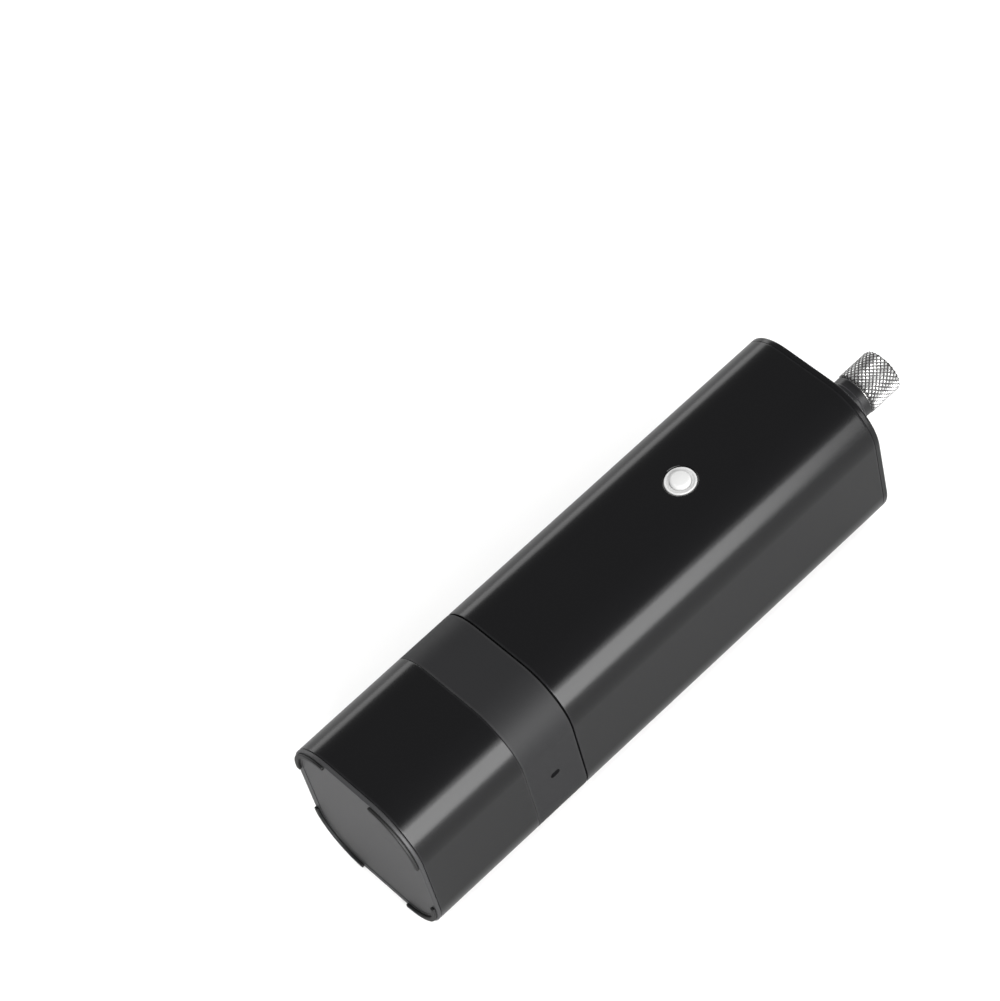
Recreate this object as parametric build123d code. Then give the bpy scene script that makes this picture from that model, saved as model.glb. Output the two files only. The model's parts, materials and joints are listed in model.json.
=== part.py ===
from build123d import *
import math
import os

os.makedirs("parts", exist_ok=True)

# Cordless airbrush compressor. It is modelled lying on its back face, long axis along X:
# x = 0 is where the base cap meets the battery sleeve, the air outlet is at the far +X end,
# the button faces +Z and the charge light faces -Y. place() then moves it to its own frame.

# ---------------------------------------------------------------- driving dimensions (mm)
# Outer shell: a rounded rectangle in section
body_width = 42.0              # Y, across the button face
body_depth = 46.7              # Z, from the back face to the button face
corner_radius = 13.7
wall = 1.5
edge_break = 0.25
sleeve_length = 31.1
band_length = 15.7
parting_gap = 0.4              # open line between the battery pack and the casing

# Base cap and feet
base_rim = 1.1                 # thickness of the base and of its chamfered edge
base_chamfer = 0.35
spigot_length = 4.0
spigot_wall = 1.5
fit_gap = 0.1                  # between a spigot and the bore it plugs into
root = 0.2                     # how far a post runs into the wall that it grows from
past = 1.0                     # how far a cut runs past the face that it opens
foot_height = 0.7
foot_inset = 0.45
foot_width = 1.15
foot_gap_y = 15.4              # open width between two feet, along Y
foot_gap_z = 18.4              # and along Z

# Battery pack
cell_radius = 9.2
cell_length = 65.2
cell_edge = 0.5
cell_tip_length = 0.9
cell_tip_radius = 3.2
cell_gap = 0.6
cell_start = 2.2
strip_thickness = 0.2
strip_half_width = 3.5
strip_half_length = 4.0
neck_clearance = 0.3
neck_wall = 1.6
cover_thickness = 1.6
cover_edge = 0.5
board_thickness = 1.0
board_gap = 0.7
board_edge_gap = 0.3
spacer_length = 10.0
spacer_inset = 2.5
spacer_gap = 0.2
spacer_side = 2.6              # from a cell out to the cut-away side
spacer_cut_half = 5.0
bore_gap = 0.15                # round a cell in its spacers
pad_thickness = 0.5
pad_size = 4.0
pad_pitch = 7.0

# Charge light and charging port in the matte band
light_x = 38.7
light_length = 2.4
light_width = 1.3
light_gap = 0.05
light_board_depth = 6.2        # from the outer face to the light's board
lamp_gap = 0.15
lamp_height = 0.9
lamp_half_length = 1.0
lamp_half_width = 0.6
light_board_half_length = 5.0
light_board_half_width = 3.5
light_post_offset = 4.5
light_post_half = 0.6
light_post_half_width = 2.0
usb_width = 8.9
usb_height = 3.2
usb_depth = 7.3
usb_recess = 0.6
usb_gap = 0.3
usb_shell = 0.3
usb_floor = 1.2
tongue_half_thickness = 0.35
tongue_half_width = 3.2
tongue_root = 0.9
tongue_inset = 1.0
charge_board_half_length = 6.4
charge_board_half_width = 6.0
port_post_offset = 5.5
port_post_half = 0.8
port_post_half_width = 0.6

# Casing side of the battery contacts
contact_gap = 2.3
block_length = 4.0
block_height = 8.0
bulkhead = 2.0
pin_radius = 0.9
pin_gap = 0.05
pin_tip_radius = 0.6
pin_tip_root = 1.0
pin_back = 0.2
pin_tail = 0.6                 # short of the bulkhead's far face
block_margin = 1.0
lead_hole_radius = 1.4

# Motor
terminal_room = 2.6
terminal_y = 3.2
terminal_z = 6.0
terminal_length = 1.9
terminal_half_width = 1.2
terminal_half_thickness = 0.2
motor_radius = 12.2
motor_length = 30.8
end_cap_length = 3.6
end_cap_step = 0.2
end_cap_edge = 0.6
can_wall = 0.9
can_edge = 1.0
can_bore = 2.0
bush_radius = 1.96
boss_radius = 3.0
boss_length = 1.6
shaft_radius = 1.0
running_gap = 0.04
magnet_thickness = 2.0
magnet_gap = 0.05
magnet_inset = 3.0
magnet_split_half = 3.0
rotor_gap = 0.4
core_inset = 5.0
core_slots = 3
core_slot_half = 1.1
core_slot_root = 4.0
commutator_radius = 3.0
commutator_start = 0.6
shaft_start = 0.4
motor_screw_spacing = 11.0
motor_screw_tip = 0.5
motor_screw_head_radius = 1.7
motor_screw_head = 1.1

# Pump: an eccentric on the motor shaft drives a diaphragm below it
stroke = 2.0
pump_side = 20.0
housing_wall = 2.2
housing_top = 9.4
cavity_radius = 7.6
crank_offset = 11.0            # from the motor's front face to the rod
hub_gap = 1.6
hub_radius = 4.2
weight_radius = 6.4
weight_thickness = 2.4
weight_low = 1.0               # the weight is cut away below this level
crank_pin_radius = 1.8
bearing_ring = 0.8
bearing_ball = 0.5
bearing_width = 2.5
ball_count = 7
ball_gap = 0.02
rod_width = 4.0
rod_ring_wall = 1.6
rod_gap = 0.3
rod_neck_half = 2.0
rod_neck_root = 0.5
rod_hole_depth = 2.6
rod_foot_radius = 4.6
rod_foot_thickness = 1.4
diaphragm_thickness = 1.2
clamp_thickness = 0.8
clamp_radius = 4.2
screw_radius = 1.0
screw_head_radius = 1.8
screw_head_height = 1.0
screw_gap = 0.08
rod_screw_reach = 2.4
pump_screw_reach = 4.5
hole_extra = 0.5               # a blind hole beyond its screw's tip
small_screw_radius = 0.8
small_screw_length = 5.0
small_head_radius = 1.4
small_head_height = 0.7
cover_screw_low = -4.0
board_screw_inset = 1.6
chamber_radius = 6.4
chamber_clear = 0.4
valve_floor = 1.8
valve_sheet_thickness = 0.5
valve_port_y = 3.6
flap_outer = 2.2
flap_inner = 1.5
flap_hinge = 3.0
flap_hinge_half = 1.2
head_height = 4.3
head_roof = 1.2
head_half_length = 5.0
head_inlet_end = 6.5
head_inlet_low = -1.4
head_outlet_high = -2.6
head_side = 6.4
pump_screw_inset = 1.8
port_radius = 0.9
cover_plate = 1.5
cover_vent_radius = 1.2
cover_vent_z = 4.0

# Air hose and outlet
hose_radius = 2.2
hose_bore = 1.3
barb_gap = 0.05
barb_length = 2.2
barb_bore = 0.78
barb_inlet = 4.0
hose_end_gap = 0.3
hose_bend = 4.2
hose_room = 5.0                # crankcase cover to the hose's riser
clip_wall = 0.5
clip_width = 1.2
clip_gap = 0.02
clip_place = 0.5
hose_clearance = 0.08          # between a hose clip and the casing's back
outlet_y = -1.2                # the outlet sits a little towards the charge light's side
stem_hub_radius = 4.9
stem_hub_below = 2.7
stem_hub_above = 3.7
stem_hub_edge = 0.4
gasket_overhang = 1.1
clip_groove_gap = 0.05
gasket_thickness = 1.0
stem_radius = 4.0
stem_bore = 1.5
cap_rim = 1.5
cap_chamfer = 0.45
collar_height = 10.75
collar_radius = 5.9
collar_edge = 0.4
intake_hole_radius = 0.8
intake_hole_count = 8
intake_hole_circle = 12.0
filter_inner = 6.8
filter_outer = 15.6
filter_thickness = 1.9

# Swivel nut, a G1/8 female thread drawn at its minor diameter
nut_gap = 0.2
nut_length = 9.7
nut_radius = 6.05
nut_edge = 0.4
nut_back_wall = 1.25
nut_mouth = 0.6
thread_radius = 4.283
thread_relief = 1.8
relief_radius = 4.7
swivel_radius = 3.4
swivel_gap = 0.08
clip_ring_thickness = 0.8
clip_ring_radius = 4.35
clip_ring_gap = 0.1
neck_past_clip = 0.2
clip_groove_depth = 0.5
washer_thickness = 0.7

# Button
button_reach = 33.15           # from the battery pack's neck
bezel_radius = 3.86
bezel_gap = 0.4                # open groove round the bezel
bezel_step_radius = 3.4
bezel_bore = 2.68
bezel_proud = 0.15
bezel_step = 0.55
bezel_flange_radius = 5.3
bezel_flange = 0.9
bezel_edge = 0.2
hole_gap = 0.1
button_radius = 2.55
button_proud = 1.15
button_dome = 0.5
button_flange_radius = 3.3
button_flange = 0.8
button_stop_gap = 0.02
button_travel = 0.6
switch_side = 6.0
switch_height = 1.4
switch_floor = 0.2
switch_below = 0.4             # room between the pressed button and the switch's body
plunger_lift = 0.3
plunger_radius = 1.6
plunger_gap = 0.1
return_ring = 0.8
return_ring_gap = 0.3

# Control board
control_board_thickness = 1.2
control_board_half_width = 14.6
control_board_length = 46.0

# Cradle that carries the motor and pump
cradle_gap = 0.4
rail_thickness = 2.5
rail_half_height = 4.0
rail_short = 1.0               # rails stop this far before the pump's end
foam_inset = 2.0
foam_thickness = 2.6
foam_length = 16.0
saddle_thickness = 2.4
saddle_bottom = 16.5
saddle_gap = 0.1
saddle_top = 2.0
saddle_front = 3.0
saddle_rear = 7.0
pillar = 2.4
pillar_root = 0.8
grommet_radius = 3.0
grommet_inset = 5.0
wire_radius = 0.55
wire_bend = 1.6

# ---------------------------------------------------------------- stations and levels
half_width = body_width / 2
half_depth = body_depth / 2
front_z = half_depth
inner_front_z = front_z - wall

band_start = sleeve_length
casing_start = band_start + band_length
band_end = casing_start - parting_gap
cell_end = cell_start + cell_length
cell_z = cell_radius + cell_gap / 2
neck_inset = wall + neck_clearance
neck_inner = neck_inset + neck_wall
bms_start = cell_end + strip_thickness + board_gap
neck_cover_start = bms_start + board_thickness + board_gap
neck_end = neck_cover_start + cover_thickness
pad_end = neck_end + pad_thickness
button_x = neck_end + button_reach

block_start = pad_end + contact_gap
bulkhead_start = block_start + block_length
bulkhead_end = bulkhead_start + bulkhead
motor_start = bulkhead_end + terminal_room
can_start = motor_start + end_cap_length
motor_end = motor_start + motor_length
boss_end = motor_end + boss_length
cavity_start = motor_end + housing_wall
crank_x = motor_end + crank_offset
housing_end = crank_x + pump_side / 2
cover_end = housing_end + cover_plate
riser_x = cover_end + hose_room
hub_start = riser_x - stem_hub_below
hub_end = riser_x + stem_hub_above
casing_end = hub_end + gasket_thickness
cap_end = casing_end + cap_rim
collar_end = cap_end + collar_height
nut_start = collar_end + nut_gap
nut_end = nut_start + nut_length
relief_start = nut_start + nut_back_wall
thread_start = relief_start + thread_relief
clip_start = relief_start + clip_ring_gap
swivel_end = clip_start + clip_ring_thickness + neck_past_clip
clip_bore = swivel_radius - clip_groove_depth + running_gap

clip_bore_radius = hose_radius + clip_gap
clip_radius = clip_bore_radius + clip_wall
outlet_z = -half_depth + wall + hose_clearance + clip_radius
head_bottom = outlet_z - head_height / 2
sheet_bottom = outlet_z + head_height / 2
valve_bottom = sheet_bottom + valve_sheet_thickness
chamber_depth = clamp_thickness + screw_head_height + chamber_clear
diaphragm_bottom = valve_bottom + valve_floor + chamber_depth
diaphragm_top = diaphragm_bottom + diaphragm_thickness
pin_z = -stroke / 2
pump_screw = pump_side / 2 - pump_screw_inset

flange_top = inner_front_z - hole_gap
flange_bottom = flange_top - bezel_flange
button_bottom = flange_bottom - button_flange
switch_top = button_bottom - button_travel - switch_below
board_top = switch_top - switch_height
board_bottom = board_top - control_board_thickness
board_x0 = button_x - control_board_length / 2
board_x1 = button_x + control_board_length / 2

rail_outer = half_width - wall - foam_thickness - fit_gap
rail_inner = rail_outer - rail_thickness
board_y = half_width - usb_recess - usb_depth
light_pipe_end = -half_width + light_board_depth
light_board_y = light_pipe_end + lamp_gap + lamp_height
magnet_radius = motor_radius - can_wall - magnet_gap
barb_end = -stem_hub_radius - barb_length

# ---------------------------------------------------------------- helpers
nodes = {}


def prism(x0, x1, inset=0.0):
    """Length of the body's section along X, drawn in by inset all round."""
    outline = RectangleRounded(body_width - 2 * inset, body_depth - 2 * inset, corner_radius - inset)
    return extrude(Plane.YZ.offset(x0) * outline, x1 - x0)


def tube(x0, x1, outer, inner):
    """Hollow length of the body's section, between two insets."""
    return prism(x0, x1, outer) - prism(x0 - past, x1 + past, inner)


def rod_x(x0, x1, radius, y=0.0, z=0.0):
    return extrude(Plane.YZ.offset(x0) * (Pos(y, z) * Circle(radius)), x1 - x0)


def ring_x(x0, x1, outer, inner, y=0.0, z=0.0):
    return rod_x(x0, x1, outer, y, z) - rod_x(x0 - past, x1 + past, inner, y, z)


def rod_z(z0, z1, radius, x=0.0, y=0.0):
    return extrude(Plane.XY.offset(z0) * (Pos(x, y) * Circle(radius)), z1 - z0)


def rod_y(y0, y1, radius, x=0.0, z=0.0):
    upright = Cylinder(radius, y1 - y0, align=(Align.CENTER, Align.CENTER, Align.MIN))
    return Pos(x, y0, z) * Rot(-90, 0, 0) * upright


def bar(x0, x1, y0, y1, z0, z1):
    middle = Pos((x0 + x1) / 2, (y0 + y1) / 2, (z0 + z1) / 2)
    return middle * Box(x1 - x0, y1 - y0, z1 - z0)


def group(pieces):
    """Separate solids in one node."""
    return Compound([solid for piece in pieces for solid in piece.solids()])


def node(name, shape):
    nodes[name] = shape


def end_edges(shape, end):
    """Edges of the lowest (0) or highest (-1) face along X."""
    return shape.edges().group_by(Axis.X)[end]


# ---------------------------------------------------------------- battery pack
def battery_sleeve():
    shell = prism(0, sleeve_length)
    shell = chamfer(end_edges(shell, 0) + end_edges(shell, -1), edge_break)
    return shell - prism(-past, sleeve_length + past, wall)


def slot_y(y0, y1, length, width, x, z=0.0):
    """Stadium-shaped bar along Y, its long way along X."""
    return Pos(x, y1, z) * extrude(Plane.XZ * SlotOverall(length, width), y1 - y0)


def usb_slot(y0, y1, grow):
    """Stadium-shaped bar along Y for the charging port, its long way along Z."""
    outline = Rot(0, 0, 90) * SlotOverall(usb_width + 2 * grow, usb_height + 2 * grow)
    return Pos(light_x, y1, 0) * extrude(Plane.XZ * outline, y1 - y0)


def battery_collar():
    band = prism(band_start, band_end)
    band = chamfer(end_edges(band, 0) + end_edges(band, -1), edge_break)
    lower = prism(band_start - spigot_length, band_start, wall + fit_gap)
    neck = prism(band_end, neck_cover_start, neck_inset)
    collar = band + lower + neck - prism(band_start - spigot_length - past, neck_end, neck_inner)
    inner_face = half_width - neck_inner + root
    post_z = charge_board_half_width - port_post_half_width
    for x in (light_x - port_post_offset, light_x + port_post_offset):
        for z in (-post_z, post_z):
            collar += bar(x - port_post_half, x + port_post_half, board_y, inner_face,
                          z - port_post_half_width, z + port_post_half_width)
    for x in (light_x - light_post_offset, light_x + light_post_offset):
        collar += bar(x - light_post_half, x + light_post_half, -inner_face, light_pipe_end,
                      -light_post_half_width, light_post_half_width)
    collar -= slot_y(-half_width - past, light_pipe_end, light_length + 2 * light_gap,
                     light_width + 2 * light_gap, light_x)
    collar -= usb_slot(board_y, half_width + past, usb_gap)
    return collar


def base_cap():
    plate = prism(-base_rim, 0)
    plate = chamfer(end_edges(plate, 0), base_chamfer)
    plug = tube(0, spigot_length, wall + fit_gap, wall + fit_gap + spigot_wall)
    return plate + plug


def corner_feet():
    """Four raised lips, one round each corner of the base."""
    low, high = -base_rim - foot_height, -base_rim
    ring = tube(low, high, foot_inset, foot_inset + foot_width)
    cross_y = bar(low - past, past, -foot_gap_y / 2, foot_gap_y / 2, -half_depth, half_depth)
    cross_z = bar(low - past, past, -half_width, half_width, -foot_gap_z / 2, foot_gap_z / 2)
    ring = ring - cross_y - cross_z
    return group([ring])


def battery_cell(z):
    shoulder = cell_end - cell_tip_length
    body = rod_x(cell_start, shoulder, cell_radius, 0, z)
    body = fillet(end_edges(body, 0) + end_edges(body, -1), cell_edge)
    return body + rod_x(shoulder, cell_end, cell_tip_radius, 0, z)


def cell_spacer(x0):
    """Moulded frame that holds both cells near one end."""
    x1 = x0 + spacer_length
    frame = prism(x0, x1, neck_inner + spacer_gap)
    for z in (-cell_z, cell_z):
        frame -= rod_x(x0 - past, x1 + past, cell_radius + bore_gap, 0, z)
    for side in (-1, 1):
        low, high = sorted((side * (cell_radius + spacer_side), side * half_width))
        frame -= bar(x0 - past, x1 + past, low, high, -spacer_cut_half, spacer_cut_half)
    return frame


def nickel_strips():
    wide, long = strip_half_width, strip_half_length
    low = bar(cell_start - strip_thickness, cell_start, -wide, wide, -cell_z - long, cell_z + long)
    high = [bar(cell_end, cell_end + strip_thickness, -wide, wide, z - long, z + long)
            for z in (-cell_z, cell_z)]
    return group([low] + high)


def bms_board():
    return prism(bms_start, bms_start + board_thickness, neck_inner + board_edge_gap)


def neck_cover():
    cover = prism(neck_cover_start, neck_end, neck_inset)
    return chamfer(end_edges(cover, -1), cover_edge)


def contact_pads():
    half = pad_size / 2
    return group([bar(neck_end, pad_end, y - half, y + half, -half, half)
                  for y in (-pad_pitch, 0, pad_pitch)])


def side_board(y0, y1, half_length, half_height):
    return bar(light_x - half_length, light_x + half_length, y0, y1, -half_height, half_height)


def usb_port():
    """Metal shell of the charging port with its contact tongue."""
    y0, y1 = board_y, board_y + usb_depth
    shell = usb_slot(y0, y1, 0) - usb_slot(y0 + usb_floor, y1 + past, -usb_shell)
    tongue = bar(light_x - tongue_half_thickness, light_x + tongue_half_thickness, y0 + tongue_root,
                 y1 - tongue_inset, -tongue_half_width, tongue_half_width)
    return shell + tongue


def light_pipe():
    return slot_y(-half_width, light_pipe_end, light_length, light_width, light_x)


def status_light():
    return bar(light_x - lamp_half_length, light_x + lamp_half_length, light_pipe_end + lamp_gap,
               light_board_y, -lamp_half_width, lamp_half_width)


node("base_cap", base_cap())
node("corner_feet", corner_feet())
node("battery_sleeve", battery_sleeve())
node("battery_collar", battery_collar())
node("battery_cells", group([battery_cell(cell_z), battery_cell(-cell_z)]))
node("cell_spacers", group([cell_spacer(cell_start + spacer_inset),
                            cell_spacer(cell_end - spacer_inset - spacer_length)]))
node("nickel_strips", nickel_strips())
node("battery_board", bms_board())
node("neck_cover", neck_cover())
node("contact_pads", contact_pads())
node("charge_board", side_board(board_y - board_thickness, board_y,
                                charge_board_half_length, charge_board_half_width))
node("usb_port", usb_port())
node("light_board", side_board(light_board_y, light_board_y + board_thickness,
                               light_board_half_length, light_board_half_width))
node("status_light", status_light())
node("light_pipe", light_pipe())


# ---------------------------------------------------------------- casing and outlet
def main_casing():
    shell = prism(casing_start, casing_end)
    shell = chamfer(end_edges(shell, 0) + end_edges(shell, -1), edge_break)
    shell -= prism(casing_start - past, casing_end + past, wall)
    return shell - rod_z(inner_front_z - past, front_z + past, bezel_radius + bezel_gap, button_x)


def top_cap():
    plate = prism(casing_end, cap_end)
    plate = chamfer(end_edges(plate, -1), cap_chamfer)
    plug = tube(casing_end - spigot_length, casing_end, wall + fit_gap, wall + fit_gap + spigot_wall)
    cap = plate + plug - rod_x(casing_end - past, cap_end + past, stem_radius + fit_gap, outlet_y)
    for index in range(intake_hole_count):
        angle = 2 * math.pi * (index + 0.5) / intake_hole_count
        y = outlet_y + intake_hole_circle * math.cos(angle)
        z = intake_hole_circle * math.sin(angle)
        cap -= rod_x(casing_end - past, cap_end + past, intake_hole_radius, y, z)
    return cap


def intake_filter():
    return ring_x(casing_end - filter_thickness, casing_end, filter_outer, filter_inner, outlet_y)


def outlet_stem():
    """Brass stem: hub with a hose barb inside the casing, thread through the cap, swivel neck."""
    hub = rod_x(hub_start, hub_end, stem_hub_radius, outlet_y)
    hub = chamfer(end_edges(hub, 0), stem_hub_edge)
    stem = hub + rod_x(hub_end, collar_end, stem_radius, outlet_y)
    stem += rod_x(collar_end, swivel_end, swivel_radius, outlet_y)
    stem += rod_z(barb_end, -stem_hub_radius + past, hose_bore - barb_gap, riser_x, outlet_y)
    stem -= rod_x(riser_x - past, swivel_end + past, stem_bore, outlet_y)
    stem -= rod_z(barb_end - past, 0, barb_bore, riser_x, outlet_y)
    return stem - ring_x(clip_start - clip_groove_gap, clip_start + clip_ring_thickness + clip_groove_gap,
                         relief_radius, swivel_radius - clip_groove_depth, outlet_y)


def outlet_collar():
    collar = rod_x(cap_end, collar_end, collar_radius, outlet_y)
    collar = fillet(end_edges(collar, -1), collar_edge)
    return collar - rod_x(cap_end - past, collar_end + past, stem_radius + fit_gap, outlet_y)


def swivel_nut():
    nut = rod_x(nut_start, nut_end, nut_radius, outlet_y)
    nut = chamfer(end_edges(nut, 0) + end_edges(nut, -1), nut_edge)
    nut -= rod_x(nut_start - past, nut_end, swivel_radius + swivel_gap, outlet_y)
    nut -= rod_x(relief_start, thread_start, relief_radius, outlet_y)
    nut -= rod_x(thread_start, nut_end + past, thread_radius, outlet_y)
    mouth = Cone(thread_radius, thread_radius + nut_mouth, nut_mouth,
                 align=(Align.CENTER, Align.CENTER, Align.MAX))
    return nut - Pos(nut_end, outlet_y, 0) * Rot(0, 90, 0) * mouth


node("main_casing", main_casing())
node("top_cap", top_cap())
node("intake_filter", intake_filter())
node("outlet_stem", outlet_stem())
node("stem_gasket",
     ring_x(hub_end, casing_end, stem_hub_radius + gasket_overhang, stem_radius + fit_gap, outlet_y))
node("outlet_collar", outlet_collar())
node("swivel_nut", swivel_nut())
node("nut_retaining_ring",
     ring_x(clip_start, clip_start + clip_ring_thickness, clip_ring_radius, clip_bore, outlet_y))
node("nut_washer",
     ring_x(swivel_end, swivel_end + washer_thickness, clip_ring_radius, stem_bore, outlet_y))


# ---------------------------------------------------------------- button and control board
def button_bezel():
    ring = rod_z(flange_bottom, front_z + bezel_proud, bezel_radius, button_x)
    ring = fillet(ring.edges().group_by(Axis.Z)[-1], bezel_edge)
    ring += rod_z(flange_bottom, flange_top, bezel_flange_radius, button_x)
    ring -= rod_z(front_z + bezel_proud - bezel_step, front_z + past, bezel_step_radius, button_x)
    return ring - rod_z(flange_bottom - past, front_z + past, bezel_bore, button_x)


def button_cap():
    cap = rod_z(button_bottom, front_z + button_proud, button_radius, button_x)
    cap = fillet(cap.edges().group_by(Axis.Z)[-1], button_dome)
    return cap + rod_z(button_bottom, flange_bottom - button_stop_gap, button_flange_radius, button_x)


def tact_switch():
    half = switch_side / 2
    body = bar(button_x - half, button_x + half, -half, half, board_top, switch_top)
    return body - rod_z(board_top + switch_floor, switch_top + past, plunger_radius + plunger_gap, button_x)


def return_pad():
    inner = plunger_radius + return_ring_gap
    ring = rod_z(switch_top, button_bottom, inner + return_ring, button_x)
    return ring - rod_z(switch_top - past, button_bottom + past, inner, button_x)


def control_board():
    half = control_board_half_width
    board = bar(board_x0, board_x1, -half, half, board_bottom, board_top)
    for x, y in board_screw_places():
        board -= rod_z(board_bottom - past, board_top + past, small_screw_radius + screw_gap, x, y)
    return board


def board_screw_places():
    y = control_board_half_width - board_screw_inset
    return [(x, side * y) for x in (board_x0 + board_screw_inset, board_x1 - board_screw_inset)
            for side in (-1, 1)]


def board_chips():
    """Driver, regulator, inductor and connector on the board's upper side."""
    # each one's middle from the button, then its length, width and height
    tops = ((-14, -6, 5.0, 4.0, 1.0), (-13, 5, 3.2, 5.0, 1.0), (12, 5, 4.0, 4.0, 1.0),
            (13, -6, 3.0, 2.6, 0.8), (8, -8, 2.0, 1.2, 0.6), (-7, 8, 2.0, 1.2, 0.6))
    return group([bar(button_x + x - a / 2, button_x + x + a / 2, y - b / 2, y + b / 2,
                      board_top, board_top + height) for x, y, a, b, height in tops])


node("button_bezel", button_bezel())
node("button_cap", button_cap())
node("switch_plunger",
     rod_z(board_top + plunger_lift + button_travel, button_bottom, plunger_radius, button_x))
node("button_return_pad", return_pad())
node("tact_switch", tact_switch())
node("control_board", control_board())
node("board_chips", board_chips())


# ---------------------------------------------------------------- motor
def motor_can():
    can = rod_x(can_start, motor_end, motor_radius)
    can = fillet(end_edges(can, -1), can_edge)
    can += rod_x(motor_end, boss_end, boss_radius)
    can -= rod_x(can_start - past, motor_end - can_wall, motor_radius - can_wall)
    can -= rod_x(can_start, boss_end + past, can_bore)
    for side in (-1, 1):
        y = side * motor_screw_spacing / 2
        can -= rod_x(motor_end - can_wall - past, motor_end + past, screw_radius + screw_gap, y)
    return can


def motor_end_cap():
    cap = rod_x(motor_start, can_start, motor_radius - end_cap_step)
    cap = chamfer(end_edges(cap, 0), end_cap_edge)
    return cap - rod_x(motor_start - past, can_start + past, shaft_radius + running_gap)


def motor_magnets():
    ring = ring_x(can_start + magnet_inset, motor_end - can_wall - magnet_inset,
                  magnet_radius, magnet_radius - magnet_thickness)
    split = bar(can_start, motor_end, -motor_radius, motor_radius, -magnet_split_half, magnet_split_half)
    return group([ring - split])


def motor_rotor():
    radius = magnet_radius - magnet_thickness - rotor_gap
    core = rod_x(can_start + core_inset, motor_end - can_wall - core_inset, radius)
    slot = bar(can_start, motor_end, core_slot_root, radius + past, -core_slot_half, core_slot_half)
    for index in range(core_slots):
        core -= Rot(360 * (index + 0.5) / core_slots, 0, 0) * slot
    core += rod_x(can_start + commutator_start, can_start + core_inset, commutator_radius)
    return core - rod_x(can_start, motor_end, shaft_radius)


def motor_terminals():
    low, high = terminal_z - terminal_half_thickness, terminal_z + terminal_half_thickness
    return group([bar(motor_start - terminal_length, motor_start, y - terminal_half_width,
                      y + terminal_half_width, low, high) for y in (-terminal_y, terminal_y)])


node("motor_can", motor_can())
node("motor_end_cap", motor_end_cap())
node("motor_magnets", motor_magnets())
node("motor_bush", ring_x(motor_end - can_wall, boss_end, bush_radius, shaft_radius + running_gap))
node("motor_rotor", motor_rotor())
node("motor_terminals", motor_terminals())


# ---------------------------------------------------------------- pump
crank_hub_start = cavity_start + hub_gap
crank_hub_end = crank_x - rod_width / 2 - rod_gap
pin_end = crank_x + rod_width / 2
bearing_bore = crank_pin_radius + running_gap
bearing_pitch = bearing_bore + bearing_ring + bearing_ball
bearing_outer = bearing_pitch + bearing_ball + bearing_ring
rod_ring_bore = bearing_outer + ball_gap
rod_ring_radius = rod_ring_bore + rod_ring_wall


def pump_block(z0, z1):
    """Square pump layer with four screw holes."""
    half = pump_side / 2
    block = bar(crank_x - half, crank_x + half, -half, half, z0, z1)
    for x, y in pump_screw_places():
        block -= rod_z(z0 - past, z1 + past, screw_radius + screw_gap, x, y)
    return block


def pump_screw_places():
    return [(crank_x + a * pump_screw, b * pump_screw) for a in (-1, 1) for b in (-1, 1)]


def cover_screw_places():
    levels = (cover_screw_low, housing_top - pump_screw_inset)
    return [(side * pump_screw, z) for side in (-1, 1) for z in levels]


def pump_housing():
    half = pump_side / 2
    housing = bar(motor_end, housing_end, -half, half, diaphragm_top, housing_top)
    housing -= rod_x(cavity_start, housing_end + past, cavity_radius)
    housing -= rod_x(motor_end - past, cavity_start + past, boss_radius + fit_gap)
    housing -= rod_z(diaphragm_top - past, 0, chamber_radius, crank_x)
    for side in (-1, 1):
        y = side * motor_screw_spacing / 2
        housing -= rod_x(motor_end - past, cavity_start + past, screw_radius + screw_gap, y)
    hole_top = diaphragm_top + pump_screw_reach + hole_extra
    for x, y in pump_screw_places():
        housing -= rod_z(diaphragm_top - past, hole_top, screw_radius + screw_gap, x, y)
    hole_start = cover_end - small_screw_length - hole_extra
    for y, z in cover_screw_places():
        housing -= rod_x(hole_start, housing_end + past, small_screw_radius + screw_gap, y, z)
    return housing


def crankcase_cover():
    half = pump_side / 2
    plate = bar(housing_end, cover_end, -half, half, diaphragm_top, housing_top)
    plate -= rod_x(housing_end - past, cover_end + past, cover_vent_radius, 0, cover_vent_z)
    for y, z in cover_screw_places():
        plate -= rod_x(housing_end - past, cover_end + past, small_screw_radius + screw_gap, y, z)
    return plate


def small_screws():
    """The same screw holds the crankcase cover and the control board."""
    screws = []
    for y, z in cover_screw_places():
        shank = rod_x(cover_end - small_screw_length, cover_end, small_screw_radius, y, z)
        screws.append(shank + rod_x(cover_end, cover_end + small_head_height, small_head_radius, y, z))
    for x, y in board_screw_places():
        shank = rod_z(board_top - small_screw_length, board_top, small_screw_radius, x, y)
        screws.append(shank + rod_z(board_top, board_top + small_head_height, small_head_radius, x, y))
    return group(screws)


def motor_screws():
    screws = []
    for side in (-1, 1):
        y = side * motor_screw_spacing / 2
        shank = rod_x(motor_end - can_wall - motor_screw_tip, cavity_start, screw_radius, y)
        head = rod_x(cavity_start, cavity_start + motor_screw_head, motor_screw_head_radius, y)
        screws.append(shank + head)
    return group(screws)


def motor_shaft():
    return rod_x(motor_start + shaft_start, crank_hub_end, shaft_radius)


def eccentric():
    hub = rod_x(crank_hub_start, crank_hub_end, hub_radius)
    weight = rod_x(crank_hub_start, crank_hub_start + weight_thickness, weight_radius)
    weight -= bar(crank_hub_start - past, crank_hub_end, -weight_radius, weight_radius,
                  -weight_radius, weight_low)
    pin = rod_x(crank_hub_end, pin_end, crank_pin_radius, 0, pin_z)
    return hub + weight + pin - rod_x(crank_hub_start - past, crank_hub_end, shaft_radius)


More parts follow.
